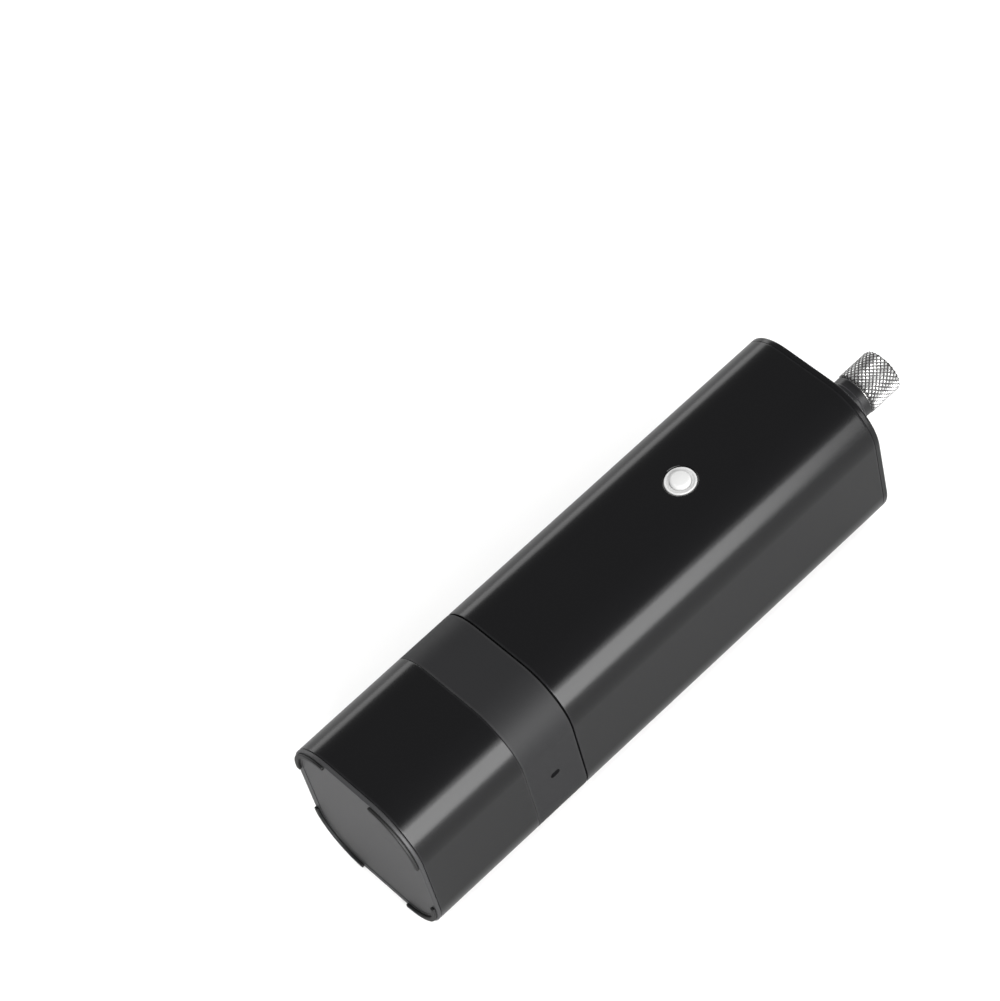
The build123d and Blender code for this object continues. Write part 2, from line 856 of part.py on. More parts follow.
def rod_bearing():
    x0, x1 = crank_x - bearing_width / 2, crank_x + bearing_width / 2
    inner = ring_x(x0, x1, bearing_bore + bearing_ring, bearing_bore, 0, pin_z)
    outer = ring_x(x0, x1, bearing_outer, bearing_outer - bearing_ring, 0, pin_z)
    balls = []
    for index in range(ball_count):
        angle = 2 * math.pi * index / ball_count
        y = bearing_pitch * math.cos(angle)
        z = pin_z + bearing_pitch * math.sin(angle)
        balls.append(Pos(crank_x, y, z) * Sphere(bearing_ball - ball_gap))
    return group([inner, outer] + balls)


def connecting_rod():
    x0, x1 = crank_x - rod_width / 2, crank_x + rod_width / 2
    ring = rod_x(x0, x1, rod_ring_radius, 0, pin_z)
    neck = bar(x0, x1, -rod_neck_half, rod_neck_half, diaphragm_top + rod_neck_root, pin_z)
    foot = rod_z(diaphragm_top, diaphragm_top + rod_foot_thickness, rod_foot_radius, crank_x)
    rod = ring + neck + foot - rod_x(x0 - past, x1 + past, rod_ring_bore, 0, pin_z)
    hole_top = diaphragm_top + rod_hole_depth
    return rod - rod_z(diaphragm_top - past, hole_top, screw_radius + screw_gap, crank_x)


def diaphragm():
    sheet = pump_block(diaphragm_bottom, diaphragm_top)
    return sheet - rod_z(diaphragm_bottom - past, diaphragm_top + past, screw_radius + screw_gap, crank_x)


def diaphragm_clamp():
    low = diaphragm_bottom - clamp_thickness
    washer = rod_z(low, diaphragm_bottom, clamp_radius, crank_x)
    return washer - rod_z(low - past, diaphragm_top, screw_radius + screw_gap, crank_x)


def diaphragm_screw():
    under = diaphragm_bottom - clamp_thickness
    shank = rod_z(under, diaphragm_top + rod_screw_reach, screw_radius, crank_x)
    return shank + rod_z(under - screw_head_height, under, screw_head_radius, crank_x)


def valve_plate():
    plate = pump_block(valve_bottom, diaphragm_bottom)
    plate -= rod_z(diaphragm_bottom - chamber_depth, diaphragm_bottom + past, chamber_radius, crank_x)
    for y in (-valve_port_y, valve_port_y):
        plate -= rod_z(valve_bottom - past, diaphragm_bottom, port_radius, crank_x, y)
    return plate


def valve_sheet():
    sheet = pump_block(sheet_bottom, valve_bottom)
    low, high = sheet_bottom - past, valve_bottom + past
    for y in (-valve_port_y, valve_port_y):
        slit = rod_z(low, high, flap_outer, crank_x, y) - rod_z(low, high, flap_inner, crank_x, y)
        hinge = bar(crank_x, crank_x + flap_hinge, y - flap_hinge_half, y + flap_hinge_half, low, high)
        sheet -= slit - hinge
    return sheet


def pump_head():
    head = pump_block(head_bottom, sheet_bottom)
    start, low, high = crank_x - head_half_length, head_bottom + head_roof, sheet_bottom + past
    head -= bar(start, crank_x + head_inlet_end, head_inlet_low, head_side, low, high)
    head -= bar(start, crank_x + head_half_length, -head_side, head_outlet_high, low, high)
    head -= rod_y(-pump_side, -barb_inlet, port_radius, crank_x, outlet_z)
    barb = housing_end + barb_length
    head += rod_x(housing_end - past, barb, hose_bore - barb_gap, outlet_y, outlet_z)
    head -= rod_x(housing_end - barb_inlet - past, barb + past, barb_bore, outlet_y, outlet_z)
    recess = head_bottom + screw_head_height
    for x, y in pump_screw_places():
        head -= rod_z(head_bottom - past, recess, screw_head_radius + screw_gap, x, y)
    return head


def pump_screws():
    under = head_bottom + screw_head_height
    return group([rod_z(under, diaphragm_top + pump_screw_reach, screw_radius, x, y)
                  + rod_z(head_bottom, under, screw_head_radius, x, y) for x, y in pump_screw_places()])


node("pump_housing", pump_housing())
node("crankcase_cover", crankcase_cover())
node("small_screws", small_screws())
node("motor_screws", motor_screws())
node("motor_shaft", motor_shaft())
node("eccentric", eccentric())
node("rod_bearing", rod_bearing())
node("connecting_rod", connecting_rod())
node("diaphragm", diaphragm())
node("diaphragm_clamp", diaphragm_clamp())
node("diaphragm_screw", diaphragm_screw())
node("valve_plate", valve_plate())
node("valve_sheet", valve_sheet())
node("pump_head", pump_head())
node("pump_screws", pump_screws())


# ---------------------------------------------------------------- hose, cradle and wiring
def air_hose():
    start = housing_end + hose_end_gap
    top = -stem_hub_radius - hose_end_gap
    corner = (riser_x, outlet_y, outlet_z)
    path = FilletPolyline((start, outlet_y, outlet_z), corner, (riser_x, outlet_y, top), radius=hose_bend)
    outline = Plane.YZ.offset(start) * (Pos(outlet_y, outlet_z) * Circle(hose_radius))
    bore = Plane.YZ.offset(start) * (Pos(outlet_y, outlet_z) * Circle(hose_bore))
    return sweep(outline, path=path) - sweep(bore, path=path)


def hose_clips():
    x = housing_end + clip_place
    z = -stem_hub_radius - clip_place
    low = ring_x(x, x + clip_width, clip_radius, clip_bore_radius, outlet_y, outlet_z)
    high = rod_z(z - clip_width, z, clip_radius, riser_x, outlet_y)
    high -= rod_z(z - clip_width - past, z + past, clip_bore_radius, riser_x, outlet_y)
    return group([low, high])


def pump_cradle():
    """End bulkhead, two side rails, two saddles under the motor and four board pillars."""
    rail_end = housing_end - rail_short
    foot = rail_half_height - pillar_root
    cradle = prism(bulkhead_start, bulkhead_end, wall + cradle_gap)
    for y in (-pad_pitch, 0, pad_pitch):
        cradle -= rod_x(bulkhead_start - past, bulkhead_end + past, lead_hole_radius, y)
    for side in (-1, 1):
        low, high = sorted((side * rail_inner, side * rail_outer))
        cradle += bar(bulkhead_end, rail_end, low, high, -rail_half_height, rail_half_height)
        for x, y in board_screw_places():
            if y * side > 0:
                low, high = sorted((y - side * pillar / 2, side * rail_outer))
                cradle += bar(x - pillar / 2, x + pillar / 2, low, high, foot, board_bottom)
    for x in (can_start + saddle_front, motor_end - saddle_rear):
        cradle += bar(x, x + saddle_thickness, -rail_outer, rail_outer, -saddle_bottom, saddle_top)
    cradle -= rod_x(bulkhead_end, motor_end, motor_radius + saddle_gap)
    depth = board_top - small_screw_length - hole_extra
    for x, y in board_screw_places():
        cradle -= rod_z(depth, board_bottom + past, small_screw_radius + screw_gap, x, y)
    return cradle & prism(0, casing_end, wall + cradle_gap)


def rubber_mounts():
    mounts = []
    for x in (motor_end + grommet_inset, housing_end - grommet_inset):
        for side in (-1, 1):
            low, high = sorted((side * pump_side / 2, side * rail_inner))
            mounts.append(rod_y(low, high, grommet_radius, x))
    return group(mounts)


def damping_foam():
    pads = []
    for x in (bulkhead_end + foam_inset, housing_end - foam_inset - foam_length):
        for side in (-1, 1):
            low, high = sorted((side * rail_outer, side * (half_width - wall)))
            pads.append(bar(x, x + foam_length, low, high, -rail_half_height, rail_half_height))
    return group(pads)


def contact_block():
    half = pad_pitch + pad_size / 2 + block_margin
    block = bar(block_start, bulkhead_start, -half, half, -block_height / 2, block_height / 2)
    for y in (-pad_pitch, 0, pad_pitch):
        block -= rod_x(block_start - past, bulkhead_start + past, pin_radius + pin_gap, y)
    return block


def contact_pins():
    """Sprung pins that meet the pack's pads."""
    return group([rod_x(pad_end + pin_gap, block_start + pin_tip_root, pin_tip_radius, y)
                  + rod_x(block_start + pin_back, bulkhead_end - pin_tail, pin_radius, y)
                  for y in (-pad_pitch, 0, pad_pitch)])


def wire(points):
    path = FilletPolyline(*points, radius=wire_bend)
    start = Plane(origin=points[0], z_dir=Vector(*points[1]) - Vector(*points[0]))
    return sweep(start * Circle(wire_radius), path=path)


def power_leads():
    """Wires from the contact pins to the board, and from the board down to the motor's terminals."""
    x = motor_start - terminal_room / 2
    start = bulkhead_end - pin_tail + pin_gap
    leads = [wire([(start, y, 0), (x, y, 0), (x, y, board_bottom)]) for y in (-pad_pitch, 0, pad_pitch)]
    solder = terminal_z + terminal_half_thickness
    leads += [rod_z(solder, board_bottom, wire_radius, x, y) for y in (-terminal_y, terminal_y)]
    return group(leads)


node("air_hose", air_hose())
node("hose_clips", hose_clips())
node("pump_cradle", pump_cradle())
node("rubber_mounts", rubber_mounts())
node("damping_foam", damping_foam())
node("contact_block", contact_block())
node("contact_pins", contact_pins())
node("power_leads", power_leads())

# ---------------------------------------------------------------- place and write
overall_start = -base_rim - foot_height
place = Pos(-(overall_start + nut_end) / 2, 0, half_depth)
for name, shape in nodes.items():
    export_step(place * shape, f"parts/{name}.step")
print(len(nodes), "nodes; overall length", round(nut_end - overall_start, 2))
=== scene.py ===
import json
import math

import bmesh
import bpy
from mathutils import Matrix, Vector


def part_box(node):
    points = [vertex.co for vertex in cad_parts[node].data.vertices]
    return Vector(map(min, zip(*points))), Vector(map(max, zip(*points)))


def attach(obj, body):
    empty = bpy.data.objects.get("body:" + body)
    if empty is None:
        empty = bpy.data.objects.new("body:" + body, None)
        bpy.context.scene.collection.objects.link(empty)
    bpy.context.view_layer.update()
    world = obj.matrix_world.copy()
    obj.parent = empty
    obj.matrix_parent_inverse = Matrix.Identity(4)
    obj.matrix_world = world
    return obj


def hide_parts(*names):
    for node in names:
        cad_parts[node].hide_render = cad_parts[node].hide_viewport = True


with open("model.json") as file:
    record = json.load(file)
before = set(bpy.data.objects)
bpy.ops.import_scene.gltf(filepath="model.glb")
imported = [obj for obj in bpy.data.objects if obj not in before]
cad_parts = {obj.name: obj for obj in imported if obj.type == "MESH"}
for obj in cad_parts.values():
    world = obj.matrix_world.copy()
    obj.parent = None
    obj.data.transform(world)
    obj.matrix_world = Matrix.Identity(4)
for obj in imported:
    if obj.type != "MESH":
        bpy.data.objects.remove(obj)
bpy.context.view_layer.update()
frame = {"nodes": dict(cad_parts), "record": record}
scene = bpy.context.scene
scene.view_settings.view_transform = "Standard"

MM = 0.001

# ------------------------------------------------------------------ sizes, in metres
CORNER = 13.7 * MM             # radius of the body's long edges
CORNER_STEPS = 18
SHELL_WALL = 1.5 * MM
RIM_BREAK = 0.22 * MM          # softened edge of a metal shell
PLASTIC_BREAK = 0.16 * MM
CAP_BREAK = 0.45 * MM

casing_low, casing_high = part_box("main_casing")
sleeve_low, sleeve_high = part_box("battery_sleeve")
base_low, base_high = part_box("base_cap")
feet_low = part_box("corner_feet")[0]
pack_low, pack_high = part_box("battery_collar")
cap_low, cap_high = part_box("top_cap")
collar_low, collar_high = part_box("outlet_collar")
nut_low, nut_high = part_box("swivel_nut")
bezel_low, bezel_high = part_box("button_bezel")
button_low, button_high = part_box("button_cap")
window_low, window_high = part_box("light_pipe")
port_low, port_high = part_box("usb_port")

AXIS_Z = (casing_low.z + casing_high.z) / 2
BUTTON_X = (bezel_low.x + bezel_high.x) / 2
OUTLET = ((nut_low.y + nut_high.y) / 2, AXIS_Z)    # the outlet's axis, in Y and Z
WINDOW_X = (window_low.x + window_high.x) / 2
PARTING_GAP = 0.4 * MM
NECK_STEP = 1.8 * MM           # the pack's neck stands in from the outer face by this
NECK_WALL = 1.6 * MM
PLUG_GAP = 0.1 * MM            # between a plug and the shell round it
PLUG_LAP = 2 * MM              # how far a plug or neck runs into its own piece
PAST = 1 * MM                  # how far a cut runs past the face that it opens
NEAR = 0.01 * MM               # how near a corner counts as on a plane
STEM_HOLE = 4.1 * MM


# ------------------------------------------------------------------ modelling helpers
def only(piece):
    """Selects one piece and makes it the active one."""
    bpy.ops.object.select_all(action="DESELECT")
    piece.select_set(True)
    bpy.context.view_layer.objects.active = piece
    return piece


def named(name):
    """The primitive just added, given its name and with its place put in its mesh."""
    piece = bpy.context.object
    piece.name = name
    piece.data.name = name
    only(piece)
    bpy.ops.object.transform_apply(location=True, rotation=True, scale=True)
    return piece


def edit(piece, mode="FACE"):
    only(piece)
    bpy.ops.object.mode_set(mode="EDIT")
    bpy.ops.mesh.select_mode(type=mode)
    bpy.ops.mesh.select_all(action="DESELECT")


def done():
    bpy.ops.object.mode_set(mode="OBJECT")


def choose(piece, kind, test):
    """In edit mode, selects the verts, edges or faces for which the test holds."""
    mesh = bmesh.from_edit_mesh(piece.data)
    for element in getattr(mesh, kind):
        element.select_set(bool(test(element)))
    mesh.select_flush_mode()
    bmesh.update_edit_mesh(piece.data)


def modify(piece, kind, **settings):
    """Adds a modifier with its settings and applies it."""
    only(piece)
    modifier = piece.modifiers.new(kind.lower(), kind)
    for key, value in settings.items():
        setattr(modifier, key, value)
    bpy.ops.object.modifier_apply(modifier=modifier.name)


def cut_away(piece, *cutters):
    for cutter in cutters:
        modify(piece, "BOOLEAN", operation="DIFFERENCE", solver="EXACT", object=cutter)
        bpy.data.objects.remove(cutter)


def join(piece, *others):
    """Makes one piece of several that touch or stand apart."""
    only(piece)
    for other in others:
        other.select_set(True)
    bpy.ops.object.join()
    return piece


def clean(piece):
    edit(piece, "VERT")
    bpy.ops.mesh.select_all(action="SELECT")
    bpy.ops.mesh.remove_doubles(threshold=0.002 * MM)
    bpy.ops.mesh.normals_make_consistent(inside=False)
    done()


def smooth(piece, angle=32):
    """Smooth shading between near faces, with the broad flats kept flat."""
    only(piece)
    bpy.ops.object.shade_smooth_by_angle(angle=math.radians(angle))
    modify(piece, "WEIGHTED_NORMAL", keep_sharp=True, weight=100)


def soften(piece, width, segments=3, angle=40):
    """Rounds every edge sharper than the angle."""
    modify(piece, "BEVEL", width=width, segments=segments, limit_method="ANGLE",
           angle_limit=math.radians(angle), use_clamp_overlap=True, miter_outer="MITER_ARC")


def body_block(name, x0, x1, inset=0.0):
    """Solid length of the body: a box with its four long edges rounded."""
    width = casing_high.y - casing_low.y - 2 * inset
    depth = casing_high.z - casing_low.z - 2 * inset
    bpy.ops.mesh.primitive_cube_add(size=1, location=((x0 + x1) / 2, 0, AXIS_Z))
    bpy.context.object.scale = (x1 - x0, width, depth)
    block = named(name)
    edit(block, "EDGE")
    choose(block, "edges", lambda e: abs(e.verts[0].co.x - e.verts[1].co.x) > 0.5 * (x1 - x0))
    bpy.ops.mesh.bevel(offset=CORNER - inset, segments=CORNER_STEPS, profile=0.5, affect="EDGES")
    done()
    return block


def body_tube(name, x0, x1, wall, inset=0.0):
    """Hollow length of the body: end faces inset, the middles taken out, the openings bridged."""
    tube = body_block(name, x0, x1, inset)
    edit(tube)
    choose(tube, "faces", lambda f: abs(f.normal.x) > 0.9)
    bpy.ops.mesh.inset(thickness=wall, use_individual=True, use_even_offset=True)
    bpy.ops.mesh.delete(type="FACE")
    choose(tube, "edges", lambda e: e.is_boundary)
    bpy.ops.mesh.select_mode(type="EDGE")
    choose(tube, "edges", lambda e: e.is_boundary)
    bpy.ops.mesh.bridge_edge_loops()
    done()
    clean(tube)
    return tube


def turned(name, stations, axis="X", centre=(0.0, 0.0), vertices=96, closed=True):
    """Lathe work: a circle carried through (place along the axis, radius) stations.

    A closed piece ends where it began; an open one has its last ring filled, and its first too.
    """
    turn = (0, math.pi / 2, 0) if axis == "X" else (0, 0, 0)

    def spot(along):
        return Vector((along, *centre)) if axis == "X" else Vector((*centre, along))

    along, radius = stations[0]
    bpy.ops.mesh.primitive_circle_add(vertices=vertices, radius=radius, location=spot(along), rotation=turn)
    piece = named(name)
    edit(piece, "EDGE")
    bpy.ops.mesh.select_all(action="SELECT")
    if not closed:
        bpy.ops.mesh.edge_face_add()
        bpy.ops.mesh.select_mode(type="EDGE")
    for next_along, next_radius in stations[1:]:
        bpy.ops.mesh.extrude_edges_move(TRANSFORM_OT_translate={"value": spot(next_along) - spot(along)})
        ratio = next_radius / radius
        size = (1, ratio, ratio) if axis == "X" else (ratio, ratio, 1)
        bpy.ops.transform.resize(value=size, center_override=spot(next_along))
        along, radius = next_along, next_radius
    if not closed:
        bpy.ops.mesh.edge_face_add()
    done()
    clean(piece)
    return piece


def lozenge(name, y0, y1, x, z, length, width, upright=False):
    """Stadium-shaped bar along Y, for a slot or the window in it."""
    size = (width, y1 - y0, length) if upright else (length, y1 - y0, width)
    bpy.ops.mesh.primitive_cube_add(size=1, location=(x, (y0 + y1) / 2, z))
    bpy.context.object.scale = size
    bar = named(name)
    edit(bar, "EDGE")
    choose(bar, "edges", lambda e: abs(e.verts[0].co.y - e.verts[1].co.y) > 0.5 * (y1 - y0))
    bpy.ops.mesh.bevel(offset=width * 0.4999, segments=10, profile=0.5, affect="EDGES")
    done()
    clean(bar)
    return bar


def mark_rims(piece, *stations, reach=0.6 * MM):
    """Attribute rim: 1 on the softened edges near these stations along X, else 0; the material paints a
    highlight where it is high.
    """
    edit(piece)
    for station in stations:
        for plane in (station - reach, station + reach):
            bpy.ops.mesh.select_all(action="SELECT")
            bpy.ops.mesh.bisect(plane_co=(plane, 0, 0), plane_no=(1, 0, 0))
    done()
    rim = piece.data.attributes.new("rim", "FLOAT", "POINT")
    values = [max(0.0, 1.0 - min(abs(v.co.x - s) for s in stations) / reach) for v in piece.data.vertices]
    rim.data.foreach_set("value", values)


def place_piece(piece, body, slot, material, *nodes):
    """Gives a finished piece its body, material and the nodes it stands for; the slot is not used."""
    piece.data.materials.clear()
    piece.data.materials.append(material)
    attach(piece, body)
    if nodes:
        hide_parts(*nodes)
    return piece


# ------------------------------------------------------------------ shader groups
def new_group(name, inputs, outputs):
    group = bpy.data.node_groups.new(name, "ShaderNodeTree")
    for label, kind, value in inputs:
        socket = group.interface.new_socket(label, in_out="INPUT", socket_type=kind)
        if value is not None:
            socket.default_value = value
    for label, kind in outputs:
        group.interface.new_socket(label, in_out="OUTPUT", socket_type=kind)
    start = group.nodes.new("NodeGroupInput")
    end = group.nodes.new("NodeGroupOutput")
    return group, start, end


def add(tree, kind, **settings):
    node = tree.nodes.new(kind)
    for key, value in settings.items():
        setattr(node, key, value)
    return node


def grain_group():
    """Fine blasted or moulded grain: a height for a Bump node and a fleck mask."""
    group, start, end = new_group(
        "fine_grain",
        [("Vector", "NodeSocketVector", None), ("Scale", "NodeSocketFloat", 4000.0),
         ("Stretch", "NodeSocketVector", (1.0, 1.0, 1.0))],
        [("Height", "NodeSocketFloat"), ("Fleck", "NodeSocketFloat")])
    links = group.links
    stretch = add(group, "ShaderNodeVectorMath", operation="MULTIPLY")
    links.new(start.outputs["Vector"], stretch.inputs[0])
    links.new(start.outputs["Stretch"], stretch.inputs[1])
    noise = add(group, "ShaderNodeTexNoise")
    noise.inputs["Detail"].default_value = 3.0
    noise.inputs["Roughness"].default_value = 0.6
    links.new(stretch.outputs[0], noise.inputs["Vector"])
    links.new(start.outputs["Scale"], noise.inputs["Scale"])
    fleck = add(group, "ShaderNodeMapRange")
    fleck.inputs["From Min"].default_value = 0.55
    fleck.inputs["From Max"].default_value = 0.75
    links.new(noise.outputs["Fac"], fleck.inputs["Value"])
    links.new(noise.outputs["Fac"], end.inputs["Height"])
    links.new(fleck.outputs["Result"], end.inputs["Fleck"])
    return group


def handling_group():
    """Slow variation over a surface: colour mottling and smudges in the gloss."""
    group, start, end = new_group(
        "handling",
        [("Vector", "NodeSocketVector", None), ("Scale", "NodeSocketFloat", 60.0),
         ("Colour", "NodeSocketColor", (0.5, 0.5, 0.5, 1)), ("Mottle", "NodeSocketFloat", 0.1),
         ("Roughness", "NodeSocketFloat", 0.4), ("Smudge", "NodeSocketFloat", 0.1),
         ("Fleck", "NodeSocketFloat", 0.0), ("Fleck Amount", "NodeSocketFloat", 0.0)],
        [("Colour", "NodeSocketColor"), ("Roughness", "NodeSocketFloat")])
    links = group.links
    slow = add(group, "ShaderNodeTexNoise")
    slow.inputs["Detail"].default_value = 4.0
    links.new(start.outputs["Vector"], slow.inputs["Vector"])
    links.new(start.outputs["Scale"], slow.inputs["Scale"])
    centred = add(group, "ShaderNodeMath", operation="SUBTRACT")
    links.new(slow.outputs["Fac"], centred.inputs[0])
    centred.inputs[1].default_value = 0.5
    mottle = add(group, "ShaderNodeMath", operation="MULTIPLY_ADD")
    links.new(centred.outputs[0], mottle.inputs[0])
    links.new(start.outputs["Mottle"], mottle.inputs[1])
    mottle.inputs[2].default_value = 1.0
    flecks = add(group, "ShaderNodeMath", operation="MULTIPLY_ADD")
    links.new(start.outputs["Fleck"], flecks.inputs[0])
    links.new(start.outputs["Fleck Amount"], flecks.inputs[1])
    links.new(mottle.outputs[0], flecks.inputs[2])
    tint = add(group, "ShaderNodeVectorMath", operation="SCALE")
    links.new(start.outputs["Colour"], tint.inputs[0])
    links.new(flecks.outputs[0], tint.inputs["Scale"])
    gloss = add(group, "ShaderNodeMath", operation="MULTIPLY_ADD", use_clamp=True)
    links.new(centred.outputs[0], gloss.inputs[0])
    links.new(start.outputs["Smudge"], gloss.inputs[1])
    links.new(start.outputs["Roughness"], gloss.inputs[2])
    links.new(tint.outputs[0], end.inputs["Colour"])
    links.new(gloss.outputs[0], end.inputs["Roughness"])
    return group


def rim_group():
    """Painted highlight on edges, a little brighter in patches: reads the piece's own rim attribute."""
    group, start, end = new_group(
        "painted_edge_highlight",
        [("Vector", "NodeSocketVector", None), ("Colour", "NodeSocketColor", (0.5, 0.5, 0.5, 1)),
         ("Rim Colour", "NodeSocketColor", (0.1, 0.1, 0.1, 1)), ("Amount", "NodeSocketFloat", 0.5)],
        [("Colour", "NodeSocketColor")])
    links = group.links
    rim = add(group, "ShaderNodeAttribute", attribute_name="rim")
    patchy = add(group, "ShaderNodeTexNoise")
    patchy.inputs["Scale"].default_value = 300.0
    links.new(start.outputs["Vector"], patchy.inputs["Vector"])
    mottled = add(group, "ShaderNodeMath", operation="MULTIPLY")
    links.new(rim.outputs["Fac"], mottled.inputs[0])
    links.new(patchy.outputs["Fac"], mottled.inputs[1])
    share = add(group, "ShaderNodeMath", operation="MULTIPLY", use_clamp=True)
    links.new(mottled.outputs[0], share.inputs[0])
    links.new(start.outputs["Amount"], share.inputs[1])
    blend = add(group, "ShaderNodeMix", data_type="RGBA")
    links.new(share.outputs[0], blend.inputs["Factor"])
    links.new(start.outputs["Colour"], blend.inputs["A"])
    links.new(start.outputs["Rim Colour"], blend.inputs["B"])
    links.new(blend.outputs["Result"], end.inputs["Colour"])
    return group


GRAIN = grain_group()
HANDLING = handling_group()
RIM = rim_group()


# ------------------------------------------------------------------ materials
def surface(name, colour, roughness, metallic=0.0, grain=4000.0, stretch=(1, 1, 1), bump=0.1,
            depth=0.02 * MM, mottle=0.2, smudge=0.08, patch=60.0, flecks=0.0, rim=None, edge_highlight_amount=0.9,
            ior=1.5, coat=0.0, sheen=0.0):
    """Principled surface with grain, handling and, where it has rims, a painted highlight on its edges."""
    material = bpy.data.materials.new(name)
    material.use_nodes = True
    tree = material.node_tree
    shader = tree.nodes["Principled BSDF"]
    shader.inputs["Metallic"].default_value = metallic
    shader.inputs["IOR"].default_value = ior
    shader.inputs["Coat Weight"].default_value = coat
    shader.inputs["Coat Roughness"].default_value = 0.15
    shader.inputs["Sheen Weight"].default_value = sheen
    place = add(tree, "ShaderNodeTexCoord")
    fine = add(tree, "ShaderNodeGroup", node_tree=GRAIN)
    fine.inputs["Scale"].default_value = grain
    fine.inputs["Stretch"].default_value = stretch
    tree.links.new(place.outputs["Object"], fine.inputs["Vector"])
    mottled = add(tree, "ShaderNodeGroup", node_tree=HANDLING)
    for label, value in (("Scale", patch), ("Colour", (*colour, 1)), ("Mottle", mottle),
                         ("Roughness", roughness), ("Smudge", smudge), ("Fleck Amount", flecks)):
        mottled.inputs[label].default_value = value
    tree.links.new(place.outputs["Object"], mottled.inputs["Vector"])
    tree.links.new(fine.outputs["Fleck"], mottled.inputs["Fleck"])
    tree.links.new(mottled.outputs["Roughness"], shader.inputs["Roughness"])
    painted = mottled.outputs["Colour"]
    # painted highlight: the colour blends toward the rim colour where the rim attribute is high
    if rim:
        edge = add(tree, "ShaderNodeGroup", node_tree=RIM)
        edge.inputs["Rim Colour"].default_value = (*rim, 1)
        edge.inputs["Amount"].default_value = edge_highlight_amount
        tree.links.new(place.outputs["Object"], edge.inputs["Vector"])
        tree.links.new(painted, edge.inputs["Colour"])
        painted = edge.outputs["Colour"]
    tree.links.new(painted, shader.inputs["Base Color"])
    relief = add(tree, "ShaderNodeBump")
    relief.inputs["Strength"].default_value = bump
    relief.inputs["Distance"].default_value = depth
    tree.links.new(fine.outputs["Height"], relief.inputs["Height"])
    tree.links.new(relief.outputs["Normal"], shader.inputs["Normal"])
    return material


ALONG = (0.12, 1, 1)           # grain drawn out along the body, as extruding leaves it

# the rim colours of these three paint a highlight on their softened edges
anodised_shell = surface("anodised_shell", (0.0028, 0.0028, 0.0031), 0.20, stretch=ALONG, grain=5200,
                         bump=0.06, mottle=0.1, smudge=0.01, patch=45, rim=(0.016, 0.016, 0.017), ior=1.42)
anodised_collar = surface("anodised_collar", (0.005, 0.005, 0.0055), 0.32, grain=5200, bump=0.08,
                          rim=(0.05, 0.05, 0.055))
matte_band = surface("matte_band", (0.0103, 0.0103, 0.0110), 0.55, grain=6500, bump=0.25,
                     mottle=0.1, flecks=0.25, smudge=0.02, rim=(0.03, 0.03, 0.03), ior=1.37)
base_moulding = surface("base_moulding", (0.026, 0.026, 0.027), 0.42, grain=6500, bump=0.25,
                        mottle=0.08, flecks=0.2, smudge=0.01)
foot_rubber = surface("foot_rubber", (0.005, 0.005, 0.005), 0.55, grain=5000, bump=0.3, smudge=0.05)
# the dark base colour is painted shade in the knurl's grooves; the rim colour is a painted highlight on its
# crests and inside
nut_plating = surface("nut_plating", (0.012, 0.012, 0.013), 0.25, metallic=0.74, grain=7000, bump=0.08,
                      mottle=0.12, smudge=0.12, patch=260, rim=(0.84, 0.84, 0.83), edge_highlight_amount=2.3)
button_plastic = surface("button_plastic", (0.47, 0.47, 0.466), 0.35, grain=5200, bump=0.05,
                         mottle=0.03, smudge=0.05, patch=240)
window_plastic = surface("window_plastic", (0.002, 0.002, 0.002), 0.3, grain=3000, bump=0.02, ior=1.35)


# ------------------------------------------------------------------ shells of the body
def make_casing():
    """Casing tube with the button's hole."""
    x0, x1 = casing_low.x, casing_high.x
    shell = body_tube("casing_shell", x0, x1, SHELL_WALL)
    soften(shell, RIM_BREAK)
    top = casing_high.z
    hole, depth, edge_drop = 4.26 * MM, 4 * MM, 0.1 * MM
    cutter = turned("hole_cutter", [(top - depth, hole), (top - edge_drop, hole),
                                    (top + PAST, hole + PAST + edge_drop)],
                    axis="Z", centre=(BUTTON_X, 0), closed=False)
    cut_away(shell, cutter)
    mark_rims(shell, x0, x1)
    smooth(shell)
    return place_piece(shell, "casing", "shell_black", anodised_shell, "main_casing")


def make_sleeve():
    """Battery sleeve, an open tube."""
    x0, x1 = sleeve_low.x, sleeve_high.x
    shell = body_tube("sleeve_shell", x0, x1, SHELL_WALL)
    soften(shell, RIM_BREAK)
    mark_rims(shell, x0, x1)
    smooth(shell)
    return place_piece(shell, "battery_pack", "shell_black", anodised_shell, "battery_sleeve")


def make_band():
    """Matte band between sleeve and casing, with the neck that plugs into the casing."""
    x0, x1 = sleeve_high.x, casing_low.x - PARTING_GAP
    band = body_tube("pack_band", x0, x1, NECK_STEP + NECK_WALL)
    soften(band, PLASTIC_BREAK)
    neck = body_tube("pack_neck", x1 - PLUG_LAP, pack_high.x, NECK_WALL, NECK_STEP)
    soften(neck, PLASTIC_BREAK)
    plug = body_tube("pack_plug", pack_low.x, x0 + PLUG_LAP, NECK_WALL, SHELL_WALL + PLUG_GAP)
    for part in (neck, plug):
        modify(band, "BOOLEAN", operation="UNION", solver="EXACT", object=part)
        bpy.data.objects.remove(part)
    length = window_high.x - window_low.x
    width = window_high.z - window_low.z
    longer, wider, port_room = 0.3 * MM, 0.4 * MM, 0.6 * MM
    slot = lozenge("window_slot", window_low.y - PAST, window_high.y + PAST / 2, WINDOW_X, AXIS_Z,
                   length + longer, width + wider)
    mouth = lozenge("port_slot", port_low.y, casing_high.y + PAST, WINDOW_X, AXIS_Z,
                    port_high.z - port_low.z + port_room, port_high.x - port_low.x + port_room,
                    upright=True)
    cut_away(band, slot, mouth)
    mark_rims(band, x0, x1)
    smooth(band)
    return place_piece(band, "battery_pack", "band_matte", matte_band, "battery_collar")


def make_window():
    """Charge light's dark window, sunk a little in its slot."""
    sunk, edge_round = 0.9 * MM, 0.12 * MM
    window = lozenge("charge_window", window_low.y + sunk, window_high.y, WINDOW_X, AXIS_Z,
                     window_high.x - window_low.x, window_high.z - window_low.z)
    soften(window, edge_round)
    smooth(window)
    return place_piece(window, "battery_pack", "light_window", window_plastic, "light_pipe")


